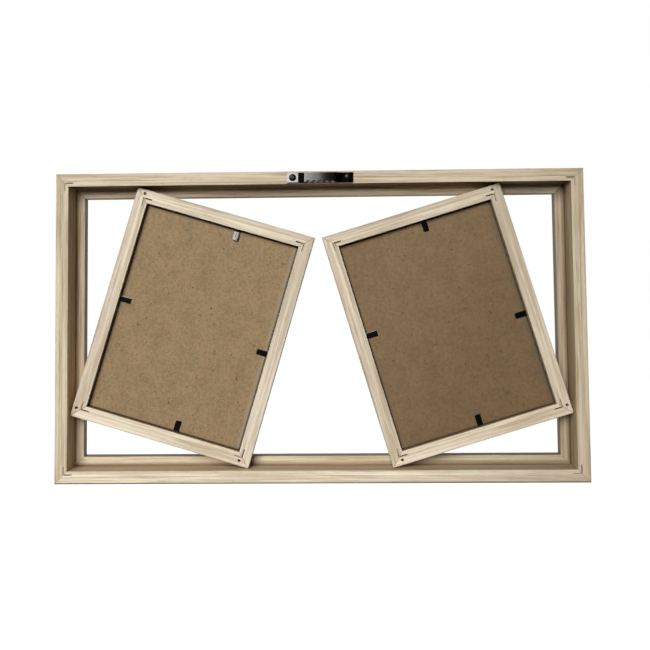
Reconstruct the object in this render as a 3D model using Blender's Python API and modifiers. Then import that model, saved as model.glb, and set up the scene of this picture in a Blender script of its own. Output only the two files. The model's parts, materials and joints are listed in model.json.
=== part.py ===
# A wide box frame seen from its back: two upright picture frames lean apart inside it.
# Metres, +Z up, +X to the viewer's right, back of the frame towards -Y.
# The origin is the middle of the bottom face, which the frame can stand on.

import math

import bmesh
import bpy
from mathutils import Matrix, Vector

# Fits shared by all pieces
touch_gap = 0.0003       # between two pieces that touch
cut_overrun = 0.002      # how far a cutter runs past the face that it opens
arc_steps = 4            # segments in a rounded corner of an outline
turn_steps = 20          # segments round a turned piece

# The picture in each inner frame
picture_width = 0.1524
picture_height = 0.2032
picture_play = 0.0008    # free on every side of the picture
pane_thickness = 0.0020
card_thickness = 0.0006
board_thickness = 0.0030

# Inner frame moulding
inner_face = 0.0126      # back face, from the outer edge to the rabbet
inner_depth = 0.0175
inner_lip_width = 0.0050
inner_lip_depth = 0.0045
inner_round = 0.0008

# How the inner frames stand in the box
lean_degrees = 16.6
corner_parting = 0.0070  # between their two free corners

# Outer frame moulding
rim_width = 0.0122
rim_depth = 0.0340
lip_width = 0.0096
lip_depth = 0.0085
rim_round = 0.0012

# Corner nails, thin angles pressed in across each mitre
corner_nail_leg = 0.0080
corner_nail_sheet = 0.0005
corner_nail_depth = 0.0070
corner_nail_sink = 0.0003
inner_corner_nail_inset = 0.0083
outer_corner_nail_inset = 0.0086

# Pins that fix an inner frame to the lip of the box
pin_radius = 0.0008
pin_head_radius = 0.0012
pin_head_height = 0.0007
pin_head_sink = 0.0032
pin_point = 0.0015
pin_bite = 0.0060        # length of pin in the lip
top_pin_along = 0.0086
top_pin_inset = 0.0042
side_pin_along = 0.0090
side_pin_inset = 0.0038
bottom_pin_along = 0.0105
bottom_pin_inset = 0.0048

# Bendable tabs that hold the back board
tab_width = 0.0056
tab_sheet = 0.0005
tab_reach = 0.0108       # from its hinge line to its tip
tab_root = 0.0060        # pressed into the rail
tab_tip_cut = 0.0009
tab_lift_degrees = 12.0  # of the one tab that is bent up a little

# Where each tab stands along its rail, from the rail's lower or left end
middle_share = 0.5
left_tab_shares = {"left": 0.53, "top": 0.60, "right": 0.47, "bottom": 0.58}
right_tab_shares = {"left": 0.555, "top": 0.56, "right": 0.44, "bottom": 0.515}

# Sawtooth hanger
hanger_length = 0.0635
hanger_height = 0.0092
hanger_sheet = 0.0008
hanger_rise = 0.0022     # of its bridge over its feet
hanger_foot = 0.0108
hanger_slope = 0.0060    # run of each slope between foot and bridge
hanger_edge_margin = 0.0013
hanger_offset = 0.0022   # from the middle, to the viewer's right
notch_pitch = 0.0058
notch_depth = 0.0020
notch_count = 5
screw_radius = 0.0012
screw_length = 0.0090
screw_head_radius = 0.0034
screw_head_height = 0.0018
screw_head_rim = 0.0006
screw_point = 0.0020
screw_slot_width = 0.0007
screw_slot_length = 0.0041
screw_slot_depth = 0.0007

# Sizes that follow from those
lean = math.radians(lean_degrees)
tab_lift = math.radians(tab_lift_degrees)
quarter = math.pi / 2
sharp_angle = quarter / 3
rabbet_width = picture_width + 2 * picture_play
rabbet_height = picture_height + 2 * picture_play
inner_width = rabbet_width + 2 * inner_face
inner_height = rabbet_height + 2 * inner_face
reach_across = inner_width * math.cos(lean) + inner_height * math.sin(lean)
reach_up = inner_height * math.cos(lean) + inner_width * math.sin(lean)
recess_width = 2 * (reach_across + touch_gap) + corner_parting
recess_height = reach_up + 2 * touch_gap
outer_width = recess_width + 2 * rim_width
outer_height = recess_height + 2 * rim_width
back_y = -rim_depth / 2
recess_depth = rim_depth - lip_depth
inner_back_y = back_y + recess_depth - touch_gap - inner_depth

# Depths inside an inner frame, from its back face
rabbet_floor = inner_depth - inner_lip_depth
pane_front = rabbet_floor - touch_gap
card_front = pane_front - pane_thickness - touch_gap
board_front = card_front - card_thickness - touch_gap
board_back = board_front - board_thickness
tab_level = board_back - touch_gap - tab_sheet / 2

sides = ("left", "top", "right", "bottom")
side_out = {"left": (-1, 0), "top": (0, 1), "right": (1, 0), "bottom": (0, -1)}
corners = {"top_left": (-1, 1), "top_right": (1, 1), "bottom_right": (1, -1), "bottom_left": (-1, -1)}


def clear_scene():
    for old in list(bpy.data.objects):
        bpy.data.objects.remove(old, do_unlink=True)


def new_collection(name):
    group = bpy.data.collections.new(name)
    bpy.context.scene.collection.children.link(group)
    return group


def new_material(name, colour, roughness, metallic=0.0, transmission=0.0):
    made = bpy.data.materials.new(name)
    made.use_nodes = True
    shader = made.node_tree.nodes["Principled BSDF"]
    shader.inputs["Base Color"].default_value = (*colour, 1.0)
    shader.inputs["Roughness"].default_value = roughness
    shader.inputs["Metallic"].default_value = metallic
    shader.inputs["Transmission Weight"].default_value = transmission
    made.diffuse_color = (*colour, 1.0)
    return made


def add_object(name, mesh, group, place=None, parent=None, material=None):
    made = bpy.data.objects.new(name, mesh)
    group.objects.link(made)
    made.parent = parent
    if place is not None:
        made.matrix_basis = place
    if material is not None:
        mesh.materials.append(material)
    if group is cutters:
        made.hide_render = True
        made.display_type = "WIRE"
    return made


def rounded(points):
    """Outline from (x, y, radius) corners, each radius an arc tangent to both sides."""
    outline = []
    for index, (x, y, radius) in enumerate(points):
        here = Vector((x, y))
        if not radius:
            outline.append(here)
            continue
        before = (Vector(points[index - 1][:2]) - here).normalized()
        after = (Vector(points[(index + 1) % len(points)][:2]) - here).normalized()
        half = before.angle(after) / 2
        start = here + before * (radius / math.tan(half))
        centre = here + (before + after).normalized() * (radius / math.sin(half))
        sweep = math.pi - 2 * half
        turn = 1 if before.cross(after) < 0 else -1
        for step in range(arc_steps + 1):
            arm = start - centre
            arm.rotate(Matrix.Rotation(turn * sweep * step / arc_steps, 2))
            outline.append(centre + arm)
    return outline


def solid_mesh(holder):
    """Closed mesh of an object as it is evaluated; the object goes."""
    graph = bpy.context.evaluated_depsgraph_get()
    mesh = bpy.data.meshes.new_from_object(holder.evaluated_get(graph))
    bpy.data.objects.remove(holder, do_unlink=True)
    shape = bmesh.new()
    shape.from_mesh(mesh)
    bmesh.ops.remove_doubles(shape, verts=shape.verts, dist=touch_gap / 100)
    bmesh.ops.recalc_face_normals(shape, faces=shape.faces)
    shape.to_mesh(mesh)
    shape.free()
    return mesh


def plate(outline, thickness):
    """Mesh of a flat outline in XY, thickened evenly along Z."""
    curve = bpy.data.curves.new("outline", "CURVE")
    curve.dimensions = "2D"
    curve.fill_mode = "BOTH"
    curve.extrude = thickness / 2
    spline = curve.splines.new("POLY")
    spline.points.add(len(outline) - 1)
    for point, (x, y) in zip(spline.points, outline):
        point.co = (x, y, 0, 1)
    spline.use_cyclic_u = True
    return solid_mesh(add_object("outline", curve, cutters))


def turned(points):
    """Mesh of an open XZ profile, from the axis at its top to the axis at its bottom, turned round Z."""
    profile = bpy.data.meshes.new("profile")
    verts = [(x, 0, z) for x, z in points]
    edges = [(index, index + 1) for index in range(len(verts) - 1)]
    profile.from_pydata(verts, edges, [])
    holder = add_object("profile", profile, cutters)
    screw = holder.modifiers.new("Turn", "SCREW")
    screw.steps = turn_steps
    screw.render_steps = turn_steps
    screw.use_merge_vertices = True
    screw.merge_threshold = touch_gap / 100
    mesh = solid_mesh(holder)
    mesh.shade_smooth()
    mesh.set_sharp_from_angle(angle=sharp_angle)
    return mesh


def block(low, high):
    """Mesh of a box between two opposite corners."""
    low = Vector(low)
    high = Vector(high)
    shape = bmesh.new()
    bmesh.ops.create_cube(shape, size=1)
    bmesh.ops.scale(shape, vec=high - low, verts=shape.verts)
    bmesh.ops.translate(shape, vec=(low + high) / 2, verts=shape.verts)
    mesh = bpy.data.meshes.new("block")
    shape.to_mesh(mesh)
    shape.free()
    return mesh


def cut(made, cutter):
    boolean = made.modifiers.new("Cut", "BOOLEAN")
    boolean.operation = "DIFFERENCE"
    boolean.solver = "EXACT"
    boolean.object = cutter


class Frame:
    """One mitred frame: its size, and the object that its pieces hang on."""

    def __init__(self, name, width, height, place):
        self.name = name
        self.width = width
        self.height = height
        self.rails = {}
        self.holder = bpy.data.objects.new(name + "_frame", None)
        parts.objects.link(self.holder)
        self.holder.matrix_basis = place

    def length(self, side):
        return self.height if side in ("left", "right") else self.width

    def beside(self, side):
        """Place whose X runs inwards from a rail's outer edge, Y to the front, Z along it."""
        across, up = side_out[side]
        edge = Vector((across * self.width / 2, 0, up * self.height / 2))
        return Matrix.Translation(edge) @ Matrix.Rotation(quarter * sides.index(side), 4, "Y")

    def corner(self, name, inset):
        """Place on a mitre, turned like that corner, a given distance from both edges."""
        across, up = corners[name]
        turn = Matrix.Rotation(quarter * list(corners).index(name), 4, "Y")
        point = Vector((across * (self.width / 2 - inset), 0, up * (self.height / 2 - inset)))
        return Matrix.Translation(point) @ turn


def rail_mesh(profile, length):
    """Moulding along Z with both ends mitred; X is the distance in from its outer edge."""
    mesh = plate(rounded(profile), length)
    parting = touch_gap / math.sqrt(2)
    for vert in mesh.vertices:
        trim = vert.co.x + parting
        vert.co.z -= math.copysign(trim, vert.co.z)
    return mesh


def add_rails(frame, profile, material):
    for side in sides:
        mesh = rail_mesh(profile, frame.length(side))
        name = f"{frame.name}_rail_{side}"
        frame.rails[side] = add_object(name, mesh, parts, frame.beside(side), frame.holder, material)


def angle_outline(leg, sheet):
    """Outline of a thin right angle whose outer apex is at 0, 0, with legs to +X and -Y."""
    return [(0, 0), (leg, 0), (leg, -sheet), (sheet, -sheet), (sheet, -leg), (0, -leg)]


def add_corner_nails(frame, inset):
    """A folded nail across each mitre, in a slot that opens at the back."""
    grow = Matrix.Translation((-touch_gap, touch_gap, 0))
    upright = Matrix.Rotation(quarter, 4, "X")
    for index, corner in enumerate(corners):
        nail_middle = corner_nail_sink + corner_nail_depth / 2
        slot_depth = corner_nail_sink + corner_nail_depth + touch_gap
        place = frame.corner(corner, inset)
        nail = plate(angle_outline(corner_nail_leg, corner_nail_sheet), corner_nail_depth)
        nail_place = place @ Matrix.Translation((0, nail_middle, 0)) @ upright
        add_object(f"{frame.name}_nail_{corner}", nail, parts, nail_place, frame.holder, nail_steel)
        wide = corner_nail_sheet + 2 * touch_gap
        slot = plate(angle_outline(corner_nail_leg + 2 * touch_gap, wide), slot_depth + cut_overrun)
        slot_middle = (slot_depth - cut_overrun) / 2
        slot_place = place @ Matrix.Translation((0, slot_middle, 0)) @ upright @ grow
        cutter = add_object(f"{frame.name}_slot_{corner}", slot, cutters, slot_place, frame.holder)
        cut(frame.rails[sides[index]], cutter)
        cut(frame.rails[sides[(index + 1) % len(sides)]], cutter)


def add_filling(frame):
    """Pane, picture card and back board, each loose in the rabbet."""
    layers = {
        "pane": (pane_front - pane_thickness, pane_front, glass),
        "card": (card_front - card_thickness, card_front, card),
        "board": (board_back, board_front, hardboard),
    }
    across = picture_width / 2
    up = picture_height / 2
    for name, (back, front, material) in layers.items():
        mesh = block((-across, back, -up), (across, front, up))
        add_object(f"{frame.name}_{name}", mesh, parts, None, frame.holder, material)


def tongue_mesh():
    """Strip along +X with a half round root on its Z axis and a clipped tip."""
    radius = tab_sheet / 2
    outline = [(tab_reach, -radius), (tab_reach, radius)]
    for step in range(arc_steps + 1):
        angle = quarter + math.pi * step / arc_steps
        outline.append((radius * math.cos(angle), radius * math.sin(angle)))
    mesh = plate(outline, tab_width)
    shape = bmesh.new()
    shape.from_mesh(mesh)
    tip = []
    for edge in shape.edges:
        first, second = (vert.co for vert in edge.verts)
        at_tip = min(first.x, second.x) > tab_reach - radius
        if at_tip and abs(first.z - second.z) < radius and abs(first.y - second.y) > radius:
            tip.append(edge)
    bmesh.ops.bevel(shape, geom=tip, offset=tab_tip_cut, segments=2, profile=0.5, affect="EDGES")
    shape.to_mesh(mesh)
    shape.free()
    return mesh


def add_tab(frame, side, share, lift):
    """Tab that bends at the rabbet wall, its root in the rail and the slot round the root."""
    along = (share - middle_share) * (frame.length(side) - 2 * inner_face)
    if side in ("right", "bottom"):
        along = -along
    wall = frame.beside(side) @ Matrix.Translation((inner_face, tab_level, along))
    hinge = wall @ Matrix.Translation((touch_gap + tab_sheet / 2, 0, 0))
    tongue_place = hinge @ Matrix.Rotation(-lift, 4, "Z")
    name = f"{frame.name}_tab_{side}"
    add_object(name, tongue_mesh(), parts, tongue_place, frame.holder, tab_steel)
    thin = tab_sheet / 2
    wide = tab_width / 2
    root = block((-tab_root, -thin, -wide), (0, thin, wide))
    add_object(f"{frame.name}_root_{side}", root, parts, wall, frame.holder, tab_steel)
    thin += touch_gap
    wide += touch_gap
    slot = block((-tab_root - touch_gap, -thin, -wide), (cut_overrun, thin, wide))
    cut(frame.rails[side], add_object(name + "_slot", slot, cutters, wall, frame.holder))


def add_tabs(frame, shares, lifted):
    for side, share in shares.items():
        add_tab(frame, side, share, tab_lift if side == lifted else 0)


def pin_profile():
    """Pin from the top of its head, at Z 0, down to its point."""
    shank_end = pin_length() - pin_point
    return [
        (0, 0),
        (pin_head_radius, 0),
        (pin_head_radius, -pin_head_height),
        (pin_radius, -pin_head_height),
        (pin_radius, -shank_end),
        (0, -pin_length()),
    ]


def pin_length():
    return inner_depth - pin_head_sink + touch_gap + pin_bite


def pin_bore_profile():
    """Bore round a pin, from past the back face to just past the point."""
    head_floor = -pin_head_height - touch_gap
    return [
        (0, pin_head_sink + cut_overrun),
        (pin_head_radius + touch_gap, pin_head_sink + cut_overrun),
        (pin_head_radius + touch_gap, head_floor),
        (pin_radius + touch_gap, head_floor),
        (pin_radius + touch_gap, -pin_length() - touch_gap),
        (0, -pin_length() - touch_gap),
    ]


def add_pin(frame, side, lip_side, along, inset, at_start):
    """Pin through one rail of an inner frame, near its end, into the lip of the box."""
    half = frame.length(side) / 2 - along
    run = -half if at_start else half
    place = frame.beside(side) @ Matrix.Translation((inset, pin_head_sink, run))
    place = place @ Matrix.Rotation(quarter, 4, "X")
    name = f"{frame.name}_pin_{side}"
    add_object(name, turned(pin_profile()), parts, place, frame.holder, pin_steel)
    bore = add_object(name + "_bore", turned(pin_bore_profile()), cutters, place, frame.holder)
    cut(frame.rails[side], bore)
    cut(box.rails[lip_side], bore)


def add_inner_frame(name, hand, shares, lifted):
    """Inner frame; hand is -1 for the left one, which leans to the right, and 1 for its mirror."""
    middle = Vector((
        hand * (corner_parting + reach_across) / 2,
        inner_back_y,
        rim_width + touch_gap + reach_up / 2,
    ))
    frame = Frame(name, inner_width, inner_height,
                  Matrix.Translation(middle) @ Matrix.Rotation(-hand * lean, 4, "Y"))
    add_rails(frame, inner_profile(), inner_wood)
    add_corner_nails(frame, inner_corner_nail_inset)
    add_filling(frame)
    add_tabs(frame, shares, lifted)
    outside = "left" if hand < 0 else "right"
    add_pin(frame, "top", "top", top_pin_along, top_pin_inset, hand < 0)
    add_pin(frame, outside, outside, side_pin_along, side_pin_inset, hand < 0)
    add_pin(frame, "bottom", "bottom", bottom_pin_along, bottom_pin_inset, hand < 0)
    return frame


def inner_profile():
    """Section of an inner rail: X in from its outer edge, Y from back to front."""
    return [
        (0, 0, inner_round),
        (inner_face, 0, 0),
        (inner_face, rabbet_floor, 0),
        (inner_face + inner_lip_width, rabbet_floor, 0),
        (inner_face + inner_lip_width, inner_depth, inner_round),
        (0, inner_depth, inner_round),
    ]


def outer_profile():
    """Section of an outer rail: a deep rim with a thin lip round the front opening."""
    return [
        (0, 0, rim_round),
        (rim_width, 0, 0),
        (rim_width, recess_depth, 0),
        (rim_width + lip_width, recess_depth, 0),
        (rim_width + lip_width, rim_depth, rim_round),
        (0, rim_depth, rim_round),
    ]


def add_outer_frame():
    place = Matrix.Translation((0, back_y, outer_height / 2))
    frame = Frame("outer", outer_width, outer_height, place)
    add_rails(frame, outer_profile(), outer_wood)
    add_corner_nails(frame, outer_corner_nail_inset)
    return frame


def hanger_outline():
    """Side view of the hanger, X along it and Y from its bridge to the wood."""
    half = hanger_length / 2
    foot = half - hanger_foot
    bridge = foot - hanger_slope
    mitre = hanger_sheet * math.tan(math.atan2(hanger_rise, hanger_slope) / 2)
    wood_side = [(-half, 0), (-foot, 0), (-bridge, -hanger_rise)]
    wood_side += [(-x, y) for x, y in reversed(wood_side)]
    outer_side = [(-half, 0), (-foot - mitre, 0), (-bridge - mitre, -hanger_rise)]
    outer_side += [(-x, y) for x, y in reversed(outer_side)]
    return wood_side + [(x, y - hanger_sheet) for x, y in reversed(outer_side)]


def notch_outline():
    """Row of notches, points up, joined below the hanger's lower edge."""
    low = -cut_overrun
    half_row = notch_pitch * notch_count / 2
    outline = [(half_row, low), (-half_row, low), (-half_row, 0)]
    for index in range(notch_count):
        start = -half_row + notch_pitch * index
        outline.append((start + notch_pitch / 2, notch_depth))
        outline.append((start + notch_pitch, 0))
    return outline


def screw_profile():
    """Domed screw from the top of its head down to its point; the head's seat is at Z 0."""
    dome = screw_head_height - screw_head_rim
    points = []
    for step in range(arc_steps + 1):
        angle = quarter * step / arc_steps
        points.append((screw_head_radius * math.sin(angle), screw_head_rim + dome * math.cos(angle)))
    points.append((screw_head_radius, 0))
    points.append((screw_radius, 0))
    points.append((screw_radius, screw_point - screw_length))
    points.append((0, -screw_length))
    return points


def straight_bore(radius, top, bottom):
    return [(0, top), (radius, top), (radius, bottom), (0, bottom)]


def add_screw(name, point, hanger):
    """Screw through a foot of the hanger into the top rail of the box."""
    place = Matrix.Translation(point) @ Matrix.Rotation(quarter, 4, "X")
    screw = add_object(name, turned(screw_profile()), parts, place, None, screw_steel)
    clear = screw_radius + touch_gap
    bore = straight_bore(clear, cut_overrun, -screw_length - touch_gap)
    cutter = add_object(name + "_bore", turned(bore), cutters, place)
    cut(hanger, cutter)
    cut(box.rails["top"], cutter)
    half = screw_slot_length / 2
    thin = screw_slot_width / 2
    floor = screw_head_height - screw_slot_depth
    high = screw_head_height + cut_overrun
    for turn, (across, up) in enumerate(((half, thin), (thin, half))):
        slot = block((-across, -up, floor), (across, up, high))
        cut(screw, add_object(f"{name}_slot_{turn}", slot, cutters, place))


def add_hanger():
    """Sawtooth hanger on the back of the top rail, with its two screws."""
    low = outer_height - rim_width + hanger_edge_margin
    middle = low + hanger_height / 2
    wood_y = back_y - touch_gap
    place = Matrix.Translation((hanger_offset, wood_y, middle))
    mesh = plate(hanger_outline(), hanger_height)
    hanger = add_object("hanger", mesh, parts, place, None, hanger_steel)
    teeth = plate(notch_outline(), 2 * (hanger_rise + hanger_sheet + cut_overrun))
    teeth_place = Matrix.Translation((hanger_offset, wood_y, low)) @ Matrix.Rotation(quarter, 4, "X")
    cut(hanger, add_object("hanger_notches", teeth, cutters, teeth_place))
    seat_y = wood_y - hanger_sheet - touch_gap
    for name, hand in (("hanger_screw_left", -1), ("hanger_screw_right", 1)):
        across = hanger_offset + hand * (hanger_length - hanger_foot) / 2
        add_screw(name, (across, seat_y, middle), hanger)


clear_scene()
parts = new_collection("double_picture_frame")
cutters = new_collection("cutters")

outer_wood = new_material("outer_wood", (0.68, 0.56, 0.42), 0.55)
inner_wood = new_material("inner_wood", (0.72, 0.60, 0.46), 0.55)
hardboard = new_material("hardboard", (0.27, 0.19, 0.11), 0.80)
glass = new_material("glass", (0.95, 0.98, 0.97), 0.02, transmission=1.0)
card = new_material("card", (0.82, 0.80, 0.75), 0.85)
nail_steel = new_material("nail_steel", (0.18, 0.16, 0.14), 0.45, metallic=1.0)
tab_steel = new_material("tab_steel", (0.03, 0.03, 0.03), 0.35, metallic=0.8)
pin_steel = new_material("pin_steel", (0.12, 0.11, 0.10), 0.45, metallic=1.0)
hanger_steel = new_material("hanger_steel", (0.05, 0.05, 0.06), 0.22, metallic=1.0)
screw_steel = new_material("screw_steel", (0.06, 0.06, 0.06), 0.30, metallic=1.0)

box = add_outer_frame()
add_inner_frame("left", -1, left_tab_shares, "top")
add_inner_frame("right", 1, right_tab_shares, None)
add_hanger()
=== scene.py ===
import json
import math

import bmesh
import bpy
from mathutils import Matrix, Vector


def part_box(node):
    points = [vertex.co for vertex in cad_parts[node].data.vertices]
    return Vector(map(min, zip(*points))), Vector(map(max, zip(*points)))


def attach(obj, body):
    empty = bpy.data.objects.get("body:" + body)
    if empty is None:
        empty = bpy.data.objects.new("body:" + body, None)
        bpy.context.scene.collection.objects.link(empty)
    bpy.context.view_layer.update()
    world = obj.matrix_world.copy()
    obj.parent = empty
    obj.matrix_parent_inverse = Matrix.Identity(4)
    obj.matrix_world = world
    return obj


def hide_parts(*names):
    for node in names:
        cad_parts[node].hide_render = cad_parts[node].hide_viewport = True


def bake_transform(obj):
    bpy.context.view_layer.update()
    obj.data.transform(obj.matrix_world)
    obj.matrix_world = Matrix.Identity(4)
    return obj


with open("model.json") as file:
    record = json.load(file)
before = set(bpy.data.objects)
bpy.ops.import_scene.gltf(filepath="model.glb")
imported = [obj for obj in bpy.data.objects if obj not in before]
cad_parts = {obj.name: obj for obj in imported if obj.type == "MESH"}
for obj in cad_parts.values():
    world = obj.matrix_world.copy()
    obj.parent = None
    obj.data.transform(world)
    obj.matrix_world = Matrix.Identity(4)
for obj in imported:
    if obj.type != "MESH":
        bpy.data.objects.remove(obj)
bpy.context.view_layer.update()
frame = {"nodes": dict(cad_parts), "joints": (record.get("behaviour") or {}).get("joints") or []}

nodes = frame["nodes"]
mm = 0.001
noiseMiddle = 0.5        # what a noise gives on average
print("loaded", len(nodes), "solids")


def paint(red, green, blue):
    # a colour as it is seen on a screen, 0 to 255, made linear
    linear = [((c / 255 + 0.055) / 1.055) ** 2.4 if c > 10 else c / 255 / 12.92 for c in (red, green, blue)]
    return (*linear, 1.0)


class Signal:
    # one output socket of a shader tree; sums on it add Math nodes

    def __init__(self, finish, socket):
        self.finish = finish
        self.socket = socket

    def sum(self, operation, *values):
        return self.finish.node("ShaderNodeMath", {"operation": operation}, dict(enumerate(values)))

    def __add__(self, other):
        return self.sum("ADD", self, other)

    def __radd__(self, other):
        return self.sum("ADD", other, self)

    def __sub__(self, other):
        return self.sum("SUBTRACT", self, other)

    def __rsub__(self, other):
        return self.sum("SUBTRACT", other, self)

    def __mul__(self, other):
        return self.sum("MULTIPLY", self, other)

    def __rmul__(self, other):
        return self.sum("MULTIPLY", other, self)

    def __truediv__(self, other):
        return self.sum("DIVIDE", self, other)

    def __rtruediv__(self, other):
        return self.sum("DIVIDE", other, self)

    def __abs__(self):
        return self.sum("ABSOLUTE", self)

    def above(self, other):
        return self.sum("MAXIMUM", self, other)


class Finish:
    # a material, or the world, whose tree is written as expressions

    def __init__(self, name, owner=None):
        self.owner = owner or bpy.data.materials.new(name)
        self.owner.use_nodes = True
        self.tree = self.owner.node_tree
        self.shader = self.tree.nodes.get("Principled BSDF")

    def node(self, kind, settings=None, values=None, output=0):
        made = self.tree.nodes.new(kind)
        for setting, value in (settings or {}).items():
            if setting == "stops":
                self.setStops(made.color_ramp, value)
            else:
                setattr(made, setting, value)
        for socket, value in (values or {}).items():
            self.plug(made.inputs[socket], value)
        return Signal(self, made.outputs[output])

    def plug(self, socket, value):
        if isinstance(value, Signal):
            self.tree.links.new(value.socket, socket)
        else:
            socket.default_value = value

    def setStops(self, ramp, stops):
        while len(ramp.elements) < len(stops):
            ramp.elements.new(1.0)
        for element, (place, colour) in zip(ramp.elements, stops):
            element.position = place
            element.color = colour

    def surface(self, **values):
        # sets or links sockets of the main shader, by their names without spaces
        for socket in self.shader.inputs:
            key = socket.name.replace(" ", "")
            if key in values:
                self.plug(socket, values[key])

    def output(self, shader):
        target = next(n for n in self.tree.nodes if n.type in ("OUTPUT_MATERIAL", "OUTPUT_WORLD"))
        self.tree.links.new(shader.socket, target.inputs["Surface"])

    def place(self):
        return self.node("ShaderNodeTexCoord", output="Object")

    def stretch(self, vector, amounts):
        return self.node("ShaderNodeVectorMath", {"operation": "MULTIPLY"}, {0: vector, 1: amounts})

    def shift(self, vector, other):
        return self.node("ShaderNodeVectorMath", {"operation": "ADD"}, {0: vector, 1: other})

    def noise(self, vector, scale, detail=2.0, roughness=0.5, output="Fac"):
        values = {"Vector": vector, "Scale": scale, "Detail": detail, "Roughness": roughness}
        return self.node("ShaderNodeTexNoise", {"noise_dimensions": "3D"}, values, output)

    def mask(self, value, low, high):
        # 0 at low, 1 at high, eased between
        values = {"Value": value, "From Min": low, "From Max": high}
        return self.node("ShaderNodeMapRange", {"interpolation_type": "SMOOTHSTEP"}, values)

    def past(self, value, edge, reach):
        # 0 before an edge, 1 past it; reach says from where to where, counted from the edge
        return self.mask(value, edge + reach[0], edge + reach[1])

    def ramp(self, value, stops):
        return self.node("ShaderNodeValToRGB", {"stops": stops}, {"Fac": value}, "Color")

    def blend(self, factor, first, second, mode="MIX"):
        settings = {"data_type": "RGBA", "blend_type": mode}
        return self.node("ShaderNodeMix", settings, {0: factor, 6: first, 7: second}, 2)

    def bump(self, height, distance, strength=1.0):
        values = {"Height": height, "Distance": distance, "Strength": strength}
        return self.node("ShaderNodeBump", None, values, "Normal")

    def axes(self, vector):
        made = self.node("ShaderNodeSeparateXYZ", None, {"Vector": vector})
        return [Signal(self, made.socket.node.outputs[index]) for index in range(3)]


def tinted(finish, colour, tone):
    # a colour times three shares
    return finish.blend(1.0, colour, (*tone, 1.0), "MULTIPLY")


def roundEdges(piece, width, sharp):
    # a small round on all edges that are sharper than an angle in degrees
    rounding = piece.modifiers.new("edges", "BEVEL")
    rounding.width = width
    rounding.segments = 2
    rounding.limit_method = "ANGLE"
    rounding.angle_limit = math.radians(sharp)


sharpEdge = 35.0         # in degrees: the edges of solids are rounded above this angle


def dress(finish, *names, bevel=0.0):
    # gives CAD solids a finish, and their edges a small round
    for name in names:
        for slot in nodes[name].material_slots:
            slot.material = finish.owner
        if bevel:
            roundEdges(nodes[name], bevel, sharpEdge)


# camera
camera = {
    "lens": 45.0,
    "location": (0.0062, -0.7930, 0.1830),
    "pan": 1.37,
    "tilt": 2.92,
    "roll": 0.52,
    "shift": (0.030, -0.1185),
    "clipStart": 0.01,
}


def makeCamera():
    data = bpy.data.cameras.new("camera")
    data.lens = camera["lens"]
    data.shift_x, data.shift_y = camera["shift"]
    data.clip_start = camera["clipStart"]
    made = bpy.data.objects.new("camera", data)
    bpy.context.scene.collection.objects.link(made)
    turn = (
        Matrix.Rotation(math.radians(camera["pan"]), 4, "Z")
        @ Matrix.Rotation(math.radians(camera["tilt"]), 4, "X")
        @ Matrix.Rotation(math.radians(camera["roll"]), 4, "Y")
        @ Matrix.Rotation(math.radians(90), 4, "X")
    )
    made.matrix_world = Matrix.Translation(camera["location"]) @ turn
    bpy.context.scene.camera = made


makeCamera()
bpy.context.scene.view_settings.view_transform = "Standard"
print("camera")


# studio: white surroundings, a pale floor, a large soft lamp high on the left, a weaker one on the
# object's other side, and two narrow ones at its ends
studio = {
    "keyPlace": (-1.12, -3.80, 1.78),
    "keySize": (2.30, 2.40),
    "keyPower": 206.0,
    "backPlace": (0.0, 3.50, 0.20),
    "backSize": (0.6, 0.6),
    "backPower": 130.0,
    "matt": ("back",),             # lamps that neither steel nor glass mirrors
    "sidePlaces": {"sideRight": (3.5, 0.0, 0.35), "sideLeft": (-3.5, 0.0, 0.35)},
    "sideSize": (0.03, 2.0),       # upright strips level with the frame, which light its outer sides only
    "sidePower": {"sideRight": 60.0, "sideLeft": 40.0},
    "aim": (0.0, 0.0, 0.15),
    "roomLight": 0.05,
    "backdrop": (-0.35, 0.15),     # polished surfaces see white from this direction on towards the front
    "floorHalf": 6.0,
    "floorColour": paint(80, 80, 79),      # as the object's wood sees it
    "floorShade": paint(130, 130, 130),    # what catches the object's shadow
    "floorGlow": (0.965, 1.0),             # close by and far off
    "floorRange": (0.30, 1.20),
    "floorBackdrop": (-0.35, 0.0),
}


def makeLamp(name, place, size, power):
    data = bpy.data.lights.new(name, "AREA")
    data.shape = "RECTANGLE"
    data.size, data.size_y = size
    data.energy = power
    lamp = bpy.data.objects.new(name, data)
    bpy.context.scene.collection.objects.link(lamp)
    lamp.location = place
    lamp.visible_camera = False
    lamp.visible_glossy = lamp.visible_transmission = name not in studio["matt"]
    lamp.rotation_euler = (Vector(studio["aim"]) - Vector(place)).to_track_quat("-Z", "Y").to_euler()


def seenRay(finish):
    # 1 for rays that show the surroundings: straight to the camera, or by way of metal or glass
    path = finish.node("ShaderNodeLightPath", output="Is Camera Ray")
    outputs = path.socket.node.outputs
    direct = path.sum("LESS_THAN", Signal(finish, outputs["Diffuse Depth"]), 1.0)
    glossy = Signal(finish, outputs["Is Glossy Ray"]) * direct
    through = Signal(finish, outputs["Is Transmission Ray"]) * direct
    return path, glossy, through


def makeWorld():
    world = bpy.data.worlds.new("surroundings")
    bpy.context.scene.world = world
    sky = Finish("surroundings", world)
    straight, glossy, through = seenRay(sky)
    direction = sky.node("ShaderNodeTexCoord", output="Generated")
    behind = sky.mask(sky.axes(direction)[1], *studio["backdrop"])
    seen = straight.above(through).above(glossy * behind)
    white = paint(255, 255, 255)
    dim, plain = [sky.node("ShaderNodeBackground", None, {"Color": white, "Strength": strength})
                  for strength in (studio["roomLight"], 1.0)]
    sky.output(sky.node("ShaderNodeMixShader", None, {0: seen, 1: dim, 2: plain}))


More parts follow.
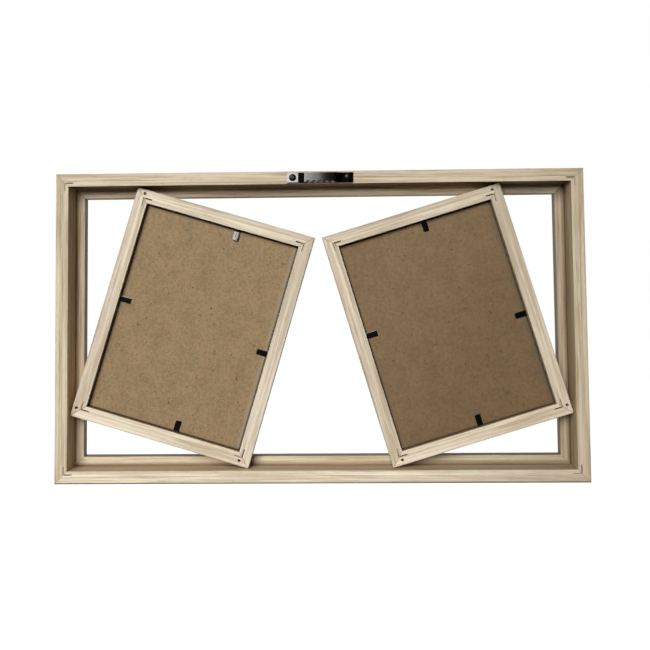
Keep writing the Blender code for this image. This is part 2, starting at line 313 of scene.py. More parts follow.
def makeFloor():
    shape = bmesh.new()
    bmesh.ops.create_grid(shape, x_segments=1, y_segments=1, size=studio["floorHalf"])
    mesh = bpy.data.meshes.new("floor")
    shape.to_mesh(mesh)
    shape.free()
    floor = bpy.data.objects.new("floor", mesh)
    bpy.context.scene.collection.objects.link(floor)
    ground = Finish("floorWhite")
    straight, glossy, through = seenRay(ground)
    place = ground.place()
    behind = ground.mask(ground.axes(place)[1], *studio["floorBackdrop"])
    seen = straight.above(through).above(glossy * behind)
    away = ground.node("ShaderNodeVectorMath", {"operation": "LENGTH"}, {0: place}, "Value")
    far = ground.mask(away, *studio["floorRange"])
    plain, shaded = [ground.node("ShaderNodeBsdfDiffuse", None, {"Color": studio[colour]})
                     for colour in ("floorColour", "floorShade")]
    white = paint(255, 255, 255)
    closeGlow, farGlow = [ground.node("ShaderNodeEmission", None, {"Color": white, "Strength": glow})
                          for glow in studio["floorGlow"]]
    close = ground.node("ShaderNodeAddShader", None, {0: shaded, 1: closeGlow})
    shown = ground.node("ShaderNodeMixShader", None, {0: far, 1: close, 2: farGlow})
    ground.output(ground.node("ShaderNodeMixShader", None, {0: seen, 1: plain, 2: shown}))
    mesh.materials.append(ground.owner)


makeWorld()
makeFloor()
makeLamp("key", studio["keyPlace"], studio["keySize"], studio["keyPower"])
makeLamp("back", studio["backPlace"], studio["backSize"], studio["backPower"])
for strip in studio["sidePlaces"]:
    makeLamp(strip, studio["sidePlaces"][strip], studio["sideSize"], studio["sidePower"][strip])
print("studio")


# rails of pale straight-grained wood, each rail's face multiplied by its own shares as painted light and shade
sides = ("left", "top", "right", "bottom")
sideOut = {"left": (-1, 0), "top": (0, 1), "right": (1, 0), "bottom": (0, -1)}
wood = {
    # noises: spots per metre across the grain, detail and roughness
    "streaks": (330.0, 3.0, 0.62),
    "fine": (1300.0, 2.0, 0.6),
    "pores": (2300.0, 1.0),
    "veins": (460.0, 2.0, 0.55),
    "patches": (70.0, 2.0),
    # how much slower each of them changes along a rail
    "along": {"streaks": 0.02, "fine": 0.04, "pores": 0.06, "veins": 0.03, "patches": 0.12},
    "wander": (9.0, 1.0),    # the noise that bends the grain, and how far it does
    "drift": 1.6 * mm,
    "mix": (0.62, 0.20, 0.18),       # shares of streaks, fine grain and patches in the tone
    "mixRange": (0.40, 0.60),
    "veinRange": (0.55, 0.66),
    "veinShade": ((188, 164, 130), 0.42),
    "poreRange": (0.60, 0.74),
    "poreShade": ((160, 138, 106), 0.30),
    "seamShade": (168, 146, 112),
    "seamLeast": 0.4,        # how dark a seam is between two streaks
    # painted shade along the outer edges of each face: how far in it reaches
    "rimWear": (0.7 * mm, 2.0 * mm),
    "roughness": (0.50, 0.18),
    "heights": {"streaks": 0.4, "fine": 0.4, "pores": 0.8, "seam": 0.8},     # the last two are hollows
    "relief": (0.10 * mm, 0.5),      # depth and strength
    "bevel": 0.25 * mm,
}
innerShape = {
    "width": 179.2 * mm, "height": 230.0 * mm,
    "rim": 12.6 * mm, "lip": 17.6 * mm, "back": -9.3 * mm, "ledge": -2.6 * mm, "front": 8.2 * mm,
    "shelfAt": 3.7 * mm,
    "seam": 4.6 * mm, "seamWidth": 0.8 * mm,
    # painted shade along the outer edges of each face
    "rimTone": {side: 0.84 for side in sides},
    # painted shade in the gap between the board and the rails
    "shelf": {side: (0.10, 0.07, 0.03) for side in sides},
    "gloss": {side: 0.5 for side in sides},
}
moulding = {
    "outer": {
        "width": 506.88 * mm, "height": 296.61 * mm, "lean": 0.0,
        "rim": 12.2 * mm, "lip": 21.8 * mm, "back": -17.0 * mm, "ledge": 8.5 * mm, "front": 17.0 * mm,
        "shelfAt": 8.5 * mm,
        "seam": 7.2 * mm, "seamWidth": 0.9 * mm, "seamDepth": 0.24,
        "light": (243, 226, 198), "dark": (206, 186, 155),
        "face": {"left": (0.765, 0.772, 0.74), "top": (0.792, 0.79, 0.785),
                 "right": (0.725, 0.722, 0.697), "bottom": (1.12, 1.16, 1.22)},
        # painted shade: the rails darker towards their right end
        "rightEnd": {"top": (0.935, 0.94, 0.925), "bottom": (0.66, 0.64, 0.61)},
        # painted shade along the outer edges of each face, darkest at the bottom
        "rimTone": {"left": 0.86, "top": 0.86, "right": 0.80, "bottom": 0.14},
        # painted shade on the recess's walls, at the back and towards the lip
        "wall": {"left": (0.97, 0.86, 0.66), "top": (0.11, 0.065, 0.025),
                 "right": (0.66, 0.62, 0.52), "bottom": (0.70, 0.645, 0.56)},
        "wallFront": {"left": (0.80, 0.71, 0.54), "top": (0.42, 0.32, 0.20),
                      "right": (0.34, 0.28, 0.20), "bottom": (0.70, 0.645, 0.56)},
        # painted light and shade on the lip inside the recess
        "shelf": {"left": (1.03, 1.0, 0.96), "top": (1.08, 1.06, 1.05),
                  "right": (0.54, 0.515, 0.485), "bottom": (0.93, 0.93, 0.915)},
        # painted shade on the edge of the opening
        "opening": {"left": (0.14, 0.125, 0.11), "top": (0.50, 0.49, 0.48),
                    "right": (0.21, 0.195, 0.17), "bottom": (0.18, 0.165, 0.14)},
        # painted shade where the recess's wall meets the lip
        "junction": {"left": 3.6 * mm, "top": 3.6 * mm, "right": 4.4 * mm, "bottom": 5.2 * mm},
        "junctionTone": {"left": (0.44, 0.36, 0.26), "top": (0.74, 0.62, 0.48),
                         "right": (0.44, 0.36, 0.26), "bottom": (0.40, 0.33, 0.24)},
        "gloss": {"left": 0.5, "top": 0.15, "right": 0.5, "bottom": 0.5},
    },
    "left": {
        **innerShape, "lean": 16.6, "seamDepth": 0.17,
        "light": (243, 228, 204), "dark": (206, 189, 161),
        "face": {"left": (0.87,) * 3, "top": (0.92,) * 3, "right": (0.90,) * 3, "bottom": (1.0,) * 3},
        # painted shade on the rabbet's walls
        "wall": {"left": (0.50, 0.42, 0.30), "top": (0.26, 0.19, 0.11),
                 "right": (0.60, 0.55, 0.45), "bottom": (0.42, 0.34, 0.24)},
    },
    "right": {
        **innerShape, "lean": -16.6, "seamDepth": 0.19,
        "light": (243, 227, 202), "dark": (204, 186, 157),
        "face": {"left": (0.88,) * 3, "top": (0.84,) * 3, "right": (0.80,) * 3, "bottom": (0.97,) * 3},
        # painted shade on the rabbet's walls
        "wall": {"left": (0.42, 0.34, 0.24), "top": (0.26, 0.19, 0.11),
                 "right": (0.80, 0.76, 0.66), "bottom": (0.42, 0.34, 0.24)},
    },
}
# from where to where a tone sets in at an edge of a moulding, counted from that edge
setsIn = {
    "rim": (-0.1 * mm, 0.0),
    "back": (0.3 * mm, 1.5 * mm),
    "ledge": (-0.3 * mm, -0.05 * mm),
    "front": (-1.2 * mm, -0.2 * mm),
    "lip": (-1.1 * mm, -0.7 * mm),
}
# painted shade towards the right end of a rail
rightEndShadeShare = 0.45         # where a rail has its end's full tone: from its middle, by its length
hangerShade = {"tone": (0.20, 0.18, 0.17), "soft": 0.3 * mm}


def frameMiddle(name):
    return sum((sum(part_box(f"{name}_rail_{side}"), Vector()) / 2 for side in ("left", "right")), Vector()) / 2


def uprightPlace(finish, name):
    # the place on a frame, counted from its middle, as if the frame stood upright
    middle = frameMiddle(name)
    centred = finish.shift(finish.place(), (-middle.x, 0.0, -middle.z))
    return finish.node("ShaderNodeVectorRotate", {"rotation_type": "Y_AXIS"},
                       {"Vector": centred, "Angle": -math.radians(moulding[name]["lean"])})


def inwards(position, side, half):
    # how far inside one edge of a rectangle, given its half sizes
    across, up = sideOut[side]
    return half[1] - position[2] * up if up else half[0] - position[0] * across


def underHangerShadow(grain, face):
    # 1 on the rear face's wood just below the hanger, where its shadow is painted
    low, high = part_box("hanger")
    place = grain.axes(grain.place())
    soft = hangerShade["soft"]
    reach = (high.x - low.x) / 2
    across = 1 - grain.mask(abs(place[0] - (low.x + high.x) / 2), reach - soft, reach + soft)
    rear = 1 - grain.mask(place[1], face + soft, face + 3 * soft)
    return across * rear * (1 - grain.mask(place[2], low.z - soft / 2, low.z + soft))


def recessLightAndShade(grain, name, side, bare, rimShaded, inside, depth):
    # painted shade for the recess's wall, painted light and shade for the lip or gap in front of it, painted
    # shade on the edge of the opening, where wall and lip meet and below the hanger
    shape = moulding[name]
    behind = grain.past(inside, shape["rim"], setsIn["rim"])
    deep, ledge, front = [grain.past(depth, shape[at], setsIn[at]) for at in ("back", "ledge", "front")]
    low = ledge * (1 - front)
    wall = tinted(grain, bare, shape["wall"][side])
    if name == "outer":
        forwards = grain.mask(depth, shape["back"], shape["ledge"])
        wall = grain.blend(forwards, wall, tinted(grain, bare, shape["wallFront"][side]))
    toned = grain.blend(behind * deep, rimShaded, wall)
    # painted light and shade on the lip or gap in front of the wall
    toned = grain.blend(behind * low, toned, tinted(grain, bare, shape["shelf"][side]))
    if name == "outer":
        # painted shade on the edge of the opening
        edge = grain.past(inside, shape["lip"], setsIn["lip"])
        toned = grain.blend(edge * low, toned, tinted(grain, bare, shape["opening"][side]))
        # painted shade where the recess's wall meets the lip
        away = abs(inside - shape["rim"]) + abs(depth - shape["ledge"])
        near = 1 - grain.mask(away, 0.0, shape["junction"][side])
        toned = grain.blend(near * behind, toned, tinted(grain, toned, shape["junctionTone"][side]))
        if side == "top":
            # painted shadow of the hanger on the rail below it
            shaded = underHangerShadow(grain, shape["back"]) * (1 - behind)
            toned = grain.blend(shaded, toned, tinted(grain, toned, hangerShade["tone"]))
    return toned


def woodFinish(name, side):
    shape = moulding[name]
    level = side in ("top", "bottom")
    grain = Finish(f"{name}Wood{side.title()}")
    turned = uprightPlace(grain, name)
    wander = grain.noise(turned, *wood["wander"], output="Color")
    drift = grain.stretch(grain.shift(wander, (-noiseMiddle,) * 3), (wood["drift"],) * 3)
    loose = grain.shift(turned, drift)

    def alongRail(kind):
        share = wood["along"][kind]
        longer = grain.stretch(loose, (share, 1.0, 1.0) if level else (1.0, 1.0, share))
        return grain.noise(longer, *wood[kind])

    streaks = alongRail("streaks")
    fine = alongRail("fine")
    pores = grain.mask(alongRail("pores"), *wood["poreRange"])
    veins = grain.mask(alongRail("veins"), *wood["veinRange"])
    patches = alongRail("patches")
    mix = wood["mix"]
    shade = grain.mask(streaks * mix[0] + fine * mix[1] + patches * mix[2], *wood["mixRange"])
    position = grain.axes(turned)
    inside = inwards(position, side, (shape["width"] / 2, shape["height"] / 2))
    seam = 1 - grain.mask(abs(inside - shape["seam"]), 0.0, shape["seamWidth"])
    bare = grain.ramp(shade, [(0.0, paint(*shape["dark"])), (1.0, paint(*shape["light"]))])
    for spots, (dark, share) in ((veins, wood["veinShade"]), (pores, wood["poreShade"])):
        bare = grain.blend(spots * share, bare, paint(*dark), "MULTIPLY")
    lines = seam * shape["seamDepth"] * (wood["seamLeast"] + streaks)
    bare = grain.blend(lines, bare, paint(*wood["seamShade"]), "MULTIPLY")
    # painted light and shade: the face multiplied by the rail's own shares
    face = tinted(grain, bare, shape["face"][side])
    # painted shade along the outer edges of the face
    rim = 1 - grain.mask(inside, *wood["rimWear"])
    rimShaded = grain.blend(rim, face, tinted(grain, face, (shape["rimTone"][side],) * 3))
    toned = recessLightAndShade(grain, name, side, bare, rimShaded, inside, position[1])
    # painted shade, darker towards the rail's right end
    if side in shape.get("rightEnd", {}):
        end = grain.mask(position[0], 0.0, shape["width"] * rightEndShadeShare)
        toned = grain.blend(end, toned, tinted(grain, toned, shape["rightEnd"][side]))
    tall = wood["heights"]
    height = streaks * tall["streaks"] + fine * tall["fine"] - pores * tall["pores"] - seam * tall["seam"]
    rough, spread = wood["roughness"]
    grain.surface(BaseColor=toned, Roughness=rough + fine * spread, SpecularIORLevel=shape["gloss"][side],
                  Normal=grain.bump(height, *wood["relief"]))
    return grain


for name in moulding:
    for side in sides:
        dress(woodFinish(name, side), f"{name}_rail_{side}", bevel=wood["bevel"])
print("rails")


# wood that closes round each corner nail, and the glued joints of the corners
fill = {
    "gap": 0.3 * mm,         # between a nail and its slot in the solids
    "ease": 0.03 * mm,       # left free on both sides of the ring of wood
    "sink": 0.05 * mm,       # from the rail's face to the ring
    "depth": 0.9 * mm,
    "glueSheet": 0.24 * mm,
    "glueSink": 0.12 * mm,
    "relief": (0.05 * mm, 0.5),
    "roughness": (0.65, 0.15),
    "speckRange": (0.35, 0.65),
    "darker": 0.90,
    "colour": {"outer": (196, 178, 148), "left": (204, 189, 163), "right": (198, 182, 154)},
    "glueColour": {"outer": (146, 124, 92), "left": (108, 86, 58), "right": (108, 86, 58)},
}


def fillFinish(name, kind):
    filler = Finish(f"{name}{kind.title()}")
    tone = fill[kind][name]
    specks = filler.noise(filler.place(), *wood["fine"])
    darker = paint(*[c * fill["darker"] for c in tone])
    colour = filler.blend(filler.mask(specks, *fill["speckRange"]), darker, paint(*tone))
    rough, spread = fill["roughness"]
    filler.surface(BaseColor=colour, Roughness=rough + specks * spread,
                   Normal=filler.bump(specks, *fill["relief"]))
    return filler


def addPiece(name, shape, finish):
    bmesh.ops.recalc_face_normals(shape, faces=shape.faces)
    mesh = bpy.data.meshes.new(name)
    shape.to_mesh(mesh)
    shape.free()
    mesh.materials.append(finish.owner)
    piece = bpy.data.objects.new(name, mesh)
    bpy.context.scene.collection.objects.link(piece)
    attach(piece, "box")
    return piece


def backOutline(name):
    # corners of a solid's rearmost face, in order, as (x, z)
    solid = nodes[name]
    mesh = solid.data
    places = [solid.matrix_world @ vertex.co for vertex in mesh.vertices]
    back = min(place.y for place in places) + fill["ease"]
    faces = [list(face.vertices) for face in mesh.polygons if all(places[v].y < back for v in face.vertices)]
    steps = {(a, b) for face in faces for a, b in zip(face, face[1:] + face[:1])}
    onward = {a: b for a, b in steps if (b, a) not in steps}
    order = [next(iter(sorted(onward)))]
    while onward[order[-1]] != order[0]:
        order.append(onward[order[-1]])
    return [Vector((places[v].x, places[v].z)) for v in order]


def grown(outline, amount):
    # the outline moved outwards by an amount on every side
    turn = sum(a.cross(b) for a, b in zip(outline, outline[1:] + outline[:1]))
    sign = 1.0 if turn < 0 else -1.0
    moved = []
    for index, here in enumerate(outline):
        before = (here - outline[index - 1]).normalized()
        after = (outline[(index + 1) % len(outline)] - here).normalized()
        out = [Vector((-way.y, way.x)) * sign for way in (before, after)]
        moved.append(here + (out[0] + out[1]) * amount / (1 + out[0].dot(out[1])))
    return moved


def addBed(nail, face, finish):
    # a ring of wood in the slot round a nail, closed on all sides
    outline = backOutline(nail)
    near = grown(outline, fill["ease"])
    far = grown(outline, fill["gap"] - fill["ease"])
    sink, depth = fill["sink"], fill["depth"]
    shape = bmesh.new()
    rings = []
    for loop, below in ((near, sink), (far, sink), (far, depth), (near, depth)):
        rings.append([shape.verts.new((point.x, face + below, point.y)) for point in loop])
    for first, second in zip(rings, rings[1:] + rings[:1]):
        for index in range(len(outline)):
            after = (index + 1) % len(outline)
            shape.faces.new((first[index], first[after], second[after], second[index]))
    addPiece(nail + "_bed", shape, finish)


def cornerName(corner):
    across, up = corner
    return ("top" if up > 0 else "bottom") + ("_left" if across < 0 else "_right")


def addGlue(name, corner, finish):
    # a thin sheet between two mitred rails, set back from their surface
    size = moulding[name]
    sink = fill["glueSink"]
    middle = frameMiddle(name)
    outline = [
        (sink, size["back"] + sink), (size["rim"] - sink, size["back"] + sink),
        (size["rim"] - sink, size["shelfAt"] + sink), (size["lip"] - sink, size["shelfAt"] + sink),
        (size["lip"] - sink, size["front"] - sink), (sink, size["front"] - sink),
    ]
    across, up = corner
    turn = Matrix.Rotation(math.radians(size["lean"]), 4, "Y")
    offset = Vector((up, 0, -across)).normalized() * fill["glueSheet"] / 2
    shape = bmesh.new()
    rings = []
    for half in (-1, 1):
        ring = []
        for inset, depth in outline:
            local = Vector((across * (size["width"] / 2 - inset), 0.0, up * (size["height"] / 2 - inset)))
            point = middle + turn @ (local + half * offset)
            ring.append(shape.verts.new((point.x, depth, point.z)))
        rings.append(ring)
    count = len(outline)
    for index in range(count):
        after = (index + 1) % count
        shape.faces.new((rings[0][index], rings[0][after], rings[1][after], rings[1][index]))
    for ring in rings:
        shape.faces.new(ring)
    addPiece(f"{name}_glue_{cornerName(corner)}", shape, finish)


for name in moulding:
    bedFinish = fillFinish(name, "colour")
    glueFinish = fillFinish(name, "glueColour")
    for corner in ((-1, -1), (1, -1), (-1, 1), (1, 1)):
        addBed(f"{name}_nail_{cornerName(corner)}", moulding[name]["back"], bedFinish)
        addGlue(name, corner, glueFinish)
print("beds and joints")


# back boards of pressed brown fibre
board = {
    # per board: far, painted shade towards the lower right; edge, painted light and shade along each edge;
    # joint, painted shadow where it meets the rails
    "left": {
        "colour": (146, 122, 88), "far": (1.0, 1.0, 1.0),
        "edge": {"left": (136, 119, 94), "top": (138, 118, 90),
                 "right": (151, 142, 124), "bottom": (132, 113, 85)},
        "joint": {"left": (0.38, 0.30, 0.20), "top": (0.12, 0.07, 0.03),
                  "right": (0.40, 0.36, 0.30), "bottom": (0.50, 0.42, 0.31)},
    },
    "right": {
        "colour": (125, 102, 71), "far": (0.80, 0.76, 0.69),
        "edge": {"left": (120, 105, 83), "top": (114, 96, 72),
                 "right": (97, 90, 72), "bottom": (106, 89, 64)},
        "joint": {"left": (0.35, 0.28, 0.18), "top": (0.12, 0.07, 0.03),
                  "right": (0.78, 0.76, 0.70), "bottom": (0.65, 0.60, 0.50)},
    },
    "half": (76.2 * mm, 101.6 * mm),
    "edgeStart": 0.2 * mm,
    "edgeWidth": {"left": 3.4 * mm, "top": 3.4 * mm, "right": 6.5 * mm, "bottom": 3.4 * mm},
    "edgeShare": 0.75,
    "jointWidth": {"left": (0.3 * mm, 1.2 * mm), "top": (0.7 * mm, 1.6 * mm),
                   "right": (0.9 * mm, 1.7 * mm), "bottom": (0.2 * mm, 1.1 * mm)},
    # noises: spots per metre, detail and roughness
    "mottle": (60.0, 3.0, 0.6),
    "grit": (300.0, 3.0, 0.6),
    "fine": (760.0, 2.0, 0.6),
    "fibre": (210.0, 3.0, 0.55),
    "fleck": (260.0, 1.0),
    "speck": (330.0, 1.0),
    "patch": (75.0, 2.0),
    "mix": (0.22, 0.38, 0.40),       # shares of mottle, grit and fine in the tone
    "mixRange": (0.36, 0.64),
    "dark": (0.89, 0.87, 0.85),
    "light": 1.09,
    "cool": (0.99, 1.0, 0.995),
    "warm": (1.015, 0.995, 0.99),
    "patchRange": (0.42, 0.58),
    "hairWidth": (0.004, 0.014),
    "hairShare": 0.22,
    "fleckRange": (0.69, 0.76),
    "fleckTone": (0.64, 0.50, 0.38),
    "fleckShare": 0.50,
    "speckRange": (0.70, 0.745),
    "speckTone": (0.34, 0.22, 0.14),
    "speckShare": 0.90,
    "roughness": (0.72, 0.15),
    "heights": {"grit": 0.5, "hairs": 0.5, "flecks": 0.4},       # flecks are hollows
    "relief": (0.12 * mm, 0.4),
    "bevel": 0.3 * mm,
}


def boardFinish(name):
    fibre = Finish(f"{name}Board")
    look = board[name]
    place = fibre.place()
    mottle, grit, fine, curls, fleck, speck, patch = [
        fibre.noise(place, *board[kind])
        for kind in ("mottle", "grit", "fine", "fibre", "fleck", "speck", "patch")]
    hairs = 1 - fibre.mask(abs(curls - noiseMiddle), *board["hairWidth"])
    flecks = fibre.mask(fleck, *board["fleckRange"])
    specks = fibre.mask(speck, *board["speckRange"])
    dark = paint(*[c * share for c, share in zip(look["colour"], board["dark"])])
    light = paint(*[c * board["light"] for c in look["colour"]])
    mix = board["mix"]
    shade = fibre.mask(mottle * mix[0] + grit * mix[1] + fine * mix[2], *board["mixRange"])
    colour = fibre.ramp(shade, [(0.0, dark), (0.5, paint(*look["colour"])), (1.0, light)])
    warm = fibre.mask(patch, *board["patchRange"])
    patched = fibre.blend(warm, tinted(fibre, colour, board["cool"]), tinted(fibre, colour, board["warm"]))
    haired = fibre.blend(hairs * board["hairShare"], patched, light)
    flecked = fibre.blend(flecks * board["fleckShare"], haired, tinted(fibre, haired, board["fleckTone"]))
    specked = fibre.blend(specks * board["speckShare"], flecked, tinted(fibre, haired, board["speckTone"]))
    # along its edges the board gets painted light and shade, and painted shadow where it meets the rails
    position = fibre.axes(uprightPlace(fibre, name))
    toned = specked
    insides = {side: inwards(position, side, board["half"]) for side in sides}
    for side in sides:
        band = 1 - fibre.mask(insides[side], board["edgeStart"], board["edgeWidth"][side])
        edgeShaded = fibre.blend(board["edgeShare"], specked, paint(*look["edge"][side]))
        toned = fibre.blend(band, toned, edgeShaded)
    # painted shade, darker towards the lower right
    far = fibre.mask(position[0] - position[2], -board["half"][1], board["half"][1])
    toned = fibre.blend(far, toned, tinted(fibre, toned, look["far"]))
    # painted shadow where the board meets the rails
    for side in sides:
        joint = 1 - fibre.mask(insides[side], *board["jointWidth"][side])
        toned = fibre.blend(joint, toned, tinted(fibre, toned, look["joint"][side]))
    tall = board["heights"]
    height = grit * tall["grit"] + hairs * tall["hairs"] - flecks * tall["flecks"]
    rough, spread = board["roughness"]
    fibre.surface(BaseColor=toned, Roughness=rough + fine * spread,
                  Normal=fibre.bump(height, *board["relief"]))
    return fibre


for name in ("left", "right"):
    dress(boardFinish(name), f"{name}_board", bevel=board["bevel"])
print("boards")


# glass and blank card in each inner frame
pane = {
    "tint": (253, 254, 254),
    "ior": 1.5,
    "roughness": (0.02, 0.03),       # clean, and what a smear adds
    "smears": (14.0, 2.0),
    "smearRange": (0.5, 0.8),
    "bevel": 0.2 * mm,
}
card = {
    "colour": (240, 235, 224),
    "deeper": 0.95,
    "fibres": (900.0, 3.0, 0.7),
    "clouds": (30.0, 2.0),
    "mix": (0.6, 0.4),               # shares of fibres and clouds in the tone
    "mixRange": (0.35, 0.65),
    "roughness": (0.78, 0.1),
    "relief": (0.05 * mm, 0.4),
}


def paneFinish():
    clear = Finish("paneGlass")
    smears = clear.mask(clear.noise(clear.place(), *pane["smears"]), *pane["smearRange"])
    clean, smeared = pane["roughness"]
    clear.surface(BaseColor=paint(*pane["tint"]), Roughness=clean + smears * smeared,
                  IOR=pane["ior"], TransmissionWeight=1.0)
    # light passes straight through the pane to what lies behind it
    shadow = clear.node("ShaderNodeLightPath", output="Is Shadow Ray")
    lightRay = shadow.above(Signal(clear, shadow.socket.node.outputs["Is Diffuse Ray"]))
    bare = clear.node("ShaderNodeBsdfTransparent", None, {"Color": paint(*pane["tint"])})
    clear.output(clear.node("ShaderNodeMixShader", None,
                            {0: lightRay, 1: Signal(clear, clear.shader.outputs[0]), 2: bare}))
    return clear


def cardFinish():
    sheet = Finish("blankCard")
    fibres = sheet.noise(sheet.place(), *card["fibres"])
    clouds = sheet.noise(sheet.place(), *card["clouds"])
    deeper = paint(*[c * card["deeper"] for c in card["colour"]])
    mix = card["mix"]
    shade = sheet.mask(fibres * mix[0] + clouds * mix[1], *card["mixRange"])
    rough, spread = card["roughness"]
    sheet.surface(BaseColor=sheet.blend(shade, deeper, paint(*card["colour"])),
                  Roughness=rough + fibres * spread, Normal=sheet.bump(fibres, *card["relief"]))
    return sheet


glassFinish = paneFinish()
paperFinish = cardFinish()
for name in ("left", "right"):
    dress(glassFinish, f"{name}_pane", bevel=pane["bevel"])
    dress(paperFinish, f"{name}_card")
print("panes and cards")


# steels: what is left of their coating, and the barer metal where it is rubbed
dull = {"metal": 0.2, "roughness": 0.70, "brushing": 900.0, "wear": 0.12, "relief": 0.35}
steel = {
    "tab": {"colour": (62, 61, 60), "bare": (72, 71, 70),
            "metal": 1.0, "roughness": 0.10, "brushing": 900.0, "wear": 0.04, "relief": 0.10},
    "hanger": {"colour": (85, 85, 86), "bare": (97, 97, 97),
               "metal": 1.0, "roughness": 0.085, "brushing": 700.0, "wear": 0.03, "relief": 0.10},
    "screw": {"colour": (37, 35, 34), "bare": (60, 57, 54),
              "metal": 1.0, "roughness": 0.26, "brushing": 900.0, "wear": 0.05, "relief": 0.2},
    # nail colours: their own dark steel, with painted shade of the slots they sit in
    "outerNail": {"colour": (110, 88, 62), "bare": (124, 102, 76), **dull},
    "nail": {"colour": (52, 38, 25), "bare": (70, 52, 36), **dull},
    "pin": {"colour": (40, 33, 28), "bare": (60, 52, 45),
            "metal": 0.6, "roughness": 0.50, "brushing": 900.0, "wear": 0.15, "relief": 0.35},
}
brushing = {"along": (0.08, 1.0, 1.0), "detail": (2.0, 0.6)}
stains = {"noise": (260.0, 3.0, 0.6), "range": (0.56, 0.74), "share": 0.5}
steelRelief = {"mix": (0.6, 0.4), "depth": 0.03 * mm}        # shares of brushing and stains
steelBevel = {"hanger": 0.18 * mm, "screw": 0.1 * mm}

# painted reflection, bright to dark along the hanger: how far from its middle in mm, and the share of its
# colour
hangerReflectionTones = {
    "steps": [(-12.0, 1.0), (-6.0, 1.32), (-0.5, 1.48), (2.0, 1.0),
              (4.0, 0.55), (8.0, 0.30), (13.0, 0.14), (30.0, 0.20)],
    "full": 1.5,             # the share at which the steel's colour is used as it is written
}


def hangerPaintedReflection(metal):
    middle = sum(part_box("hanger"), Vector()) / 2
    steps = hangerReflectionTones["steps"]
    start = steps[0][0]
    length = steps[-1][0] - start
    along = (metal.axes(metal.place())[0] - (middle.x + start * mm)) / (length * mm)
    stops = [((far - start) / length, (share / hangerReflectionTones["full"],) * 3 + (1.0,)) for far, share in steps]
    return metal.ramp(along, stops)


def steelFinish(name):
    look = steel[name]
    metal = Finish(f"{name}Steel")
    place = metal.place()
    brushed = metal.noise(metal.stretch(place, brushing["along"]), look["brushing"], *brushing["detail"])
    stained = metal.noise(place, *stains["noise"])
    rubbed = metal.mask(stained, *stains["range"])
    colour = metal.blend(rubbed * stains["share"], paint(*look["colour"]), paint(*look["bare"]))
    # painted reflection along the hanger
    if name == "hanger":
        colour = metal.blend(1.0, colour, hangerPaintedReflection(metal), "MULTIPLY")
    rough = look["roughness"] + brushed * look["wear"] + rubbed * look["wear"]
    mix = steelRelief["mix"]
    height = brushed * mix[0] + stained * mix[1]
    metal.surface(BaseColor=colour, Metallic=look["metal"], Roughness=rough,
                  Normal=metal.bump(height, steelRelief["depth"], look["relief"]))
    return metal


steels = {name: steelFinish(name) for name in steel}
dress(steels["hanger"], "hanger", bevel=steelBevel["hanger"])
dress(steels["screw"], "hanger_screw_left", "hanger_screw_right", bevel=steelBevel["screw"])
for name in nodes:
    if "_nail_" in name:
        dress(steels["outerNail" if name.startswith("outer") else "nail"], name)
    if "_pin_" in name:
        dress(steels["pin"], name)
print("steels")


# tabs, each one strip of pressed sheet from its root in the rail to its tip
tab = {
    "width": 5.6 * mm,
    "sheet": 0.5 * mm,
    "rootEnd": -6.3 * mm,    # counted along the strip from its hinge, as all places here
    "reach": 10.8 * mm,
    "step": 0.45 * mm,
    "columns": (-1.0, -0.82, -0.5, -0.24, -0.1, 0.0, 0.1, 0.24, 0.5, 0.82, 1.0),
    "cornerRound": 0.9 * mm,
    "bendStart": -0.45 * mm,
    "bendEnd": 1.05 * mm,
    "grooveStart": 3.4 * mm,
    "grooveEnd": 7.8 * mm,
    "grooveEase": 0.8 * mm,
    "grooveWidth": 0.55 * mm,
    "grooveDepth": 0.03 * mm,
    "crown": 0.03 * mm,
    "crownStart": (-0.4 * mm, 1.2 * mm),
    "edge": 0.12 * mm,
    "edgeAngle": 50.0,       # in degrees: rounded above the first, creased above the second
    "creaseAngle": 40.0,
    "lifted": {"left_tab_top_bend": 12.0},
}


def eased(value, low, high):
    share = min(1.0, max(0.0, (value - low) / (high - low)))
    return share * share * (3 - 2 * share)


def tabPath(lift):
    # points along the middle of the strip: how far along, place, direction angle
    stations = []
    length = tab["reach"] - tab["rootEnd"]
    count = round(length / tab["step"])
    step = length / count
    x = tab["rootEnd"]
    y = 0.0
    for index in range(count + 1):
        far = tab["rootEnd"] + length * index / count
        stations.append((far, x, y, lift * eased(far, tab["bendStart"], tab["bendEnd"])))
        onward = lift * eased(far + step / 2, tab["bendStart"], tab["bendEnd"])
        x += step * math.cos(onward)
        y -= step * math.sin(onward)
    return stations


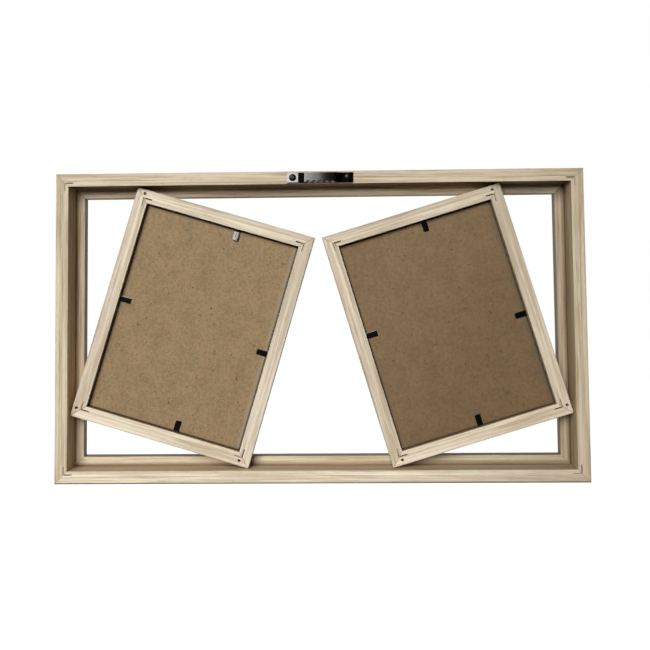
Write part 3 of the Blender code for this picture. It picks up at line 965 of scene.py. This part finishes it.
def tabRows(lift):
    # cross rows of points on the strip's two faces, each with its column's place
    corner = tab["cornerRound"]
    start, end, ease = tab["grooveStart"], tab["grooveEnd"], tab["grooveEase"]
    for far, x, y, angle in tabPath(lift):
        past = max(0.0, far - (tab["reach"] - corner))
        half = tab["width"] / 2 - corner + math.sqrt(max(0.0, corner ** 2 - past ** 2))
        window = eased(far, start, start + ease) * (1 - eased(far, end - ease, end))
        crown = tab["crown"] * eased(far, *tab["crownStart"])
        rows = ([], [])
        for share in tab["columns"]:
            z = share * half
            dip = tab["grooveDepth"] * window * (1 - eased(abs(z), 0.0, tab["grooveWidth"]))
            for row, side in zip(rows, (-1, 1)):
                off = side * tab["sheet"] / 2 + dip + crown * share ** 2
                row.append((x + off * math.sin(angle), y + off * math.cos(angle), z))
        yield rows


def tabMesh(name, lift):
    shape = bmesh.new()
    faces = [[[shape.verts.new(point) for point in row] for row in rows] for rows in tabRows(lift)]
    last = len(tab["columns"]) - 1
    for before, after in zip(faces, faces[1:]):
        for column in range(last):
            for a, b in zip(before, after):
                shape.faces.new((a[column], b[column], b[column + 1], a[column + 1]))
        for column in (0, last):
            shape.faces.new((before[0][column], after[0][column], after[1][column], before[1][column]))
    for outer, inner in (faces[0], faces[-1]):
        for column in range(last):
            shape.faces.new((outer[column], outer[column + 1], inner[column + 1], inner[column]))
    bmesh.ops.recalc_face_normals(shape, faces=shape.faces)
    mesh = bpy.data.meshes.new(name)
    shape.to_mesh(mesh)
    shape.free()
    return mesh


def settle(piece):
    # applies a piece's modifiers to its mesh
    bpy.context.view_layer.update()
    graph = bpy.context.evaluated_depsgraph_get()
    final = bpy.data.meshes.new_from_object(piece.evaluated_get(graph))
    piece.modifiers.clear()
    piece.data = final


def makeTab(joint):
    hinge = Vector(joint["pos_m"])
    inward = Vector(joint["axis"]).cross(Vector((0, 1, 0))).normalized()
    deep = Vector((0, 1, 0))
    place = Matrix.Translation(hinge) @ Matrix((inward, deep, inward.cross(deep))).transposed().to_4x4()
    lift = math.radians(tab["lifted"].get(joint["name"], 0.0))
    name = joint["name"].replace("_bend", "_strip")
    mesh = tabMesh(name, lift)
    mesh.materials.append(steels["tab"].owner)
    piece = bpy.data.objects.new(name, mesh)
    bpy.context.scene.collection.objects.link(piece)
    roundEdges(piece, tab["edge"], tab["edgeAngle"])
    settle(piece)
    piece.data.shade_smooth()
    piece.data.set_sharp_from_angle(angle=math.radians(tab["creaseAngle"]))
    piece.matrix_world = place
    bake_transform(piece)
    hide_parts(joint["child"].replace("_tongue_", "_tab_"),
                joint["child"].replace("_tongue_", "_root_"))


for joint in frame["joints"]:
    makeTab(joint)
print("tabs")
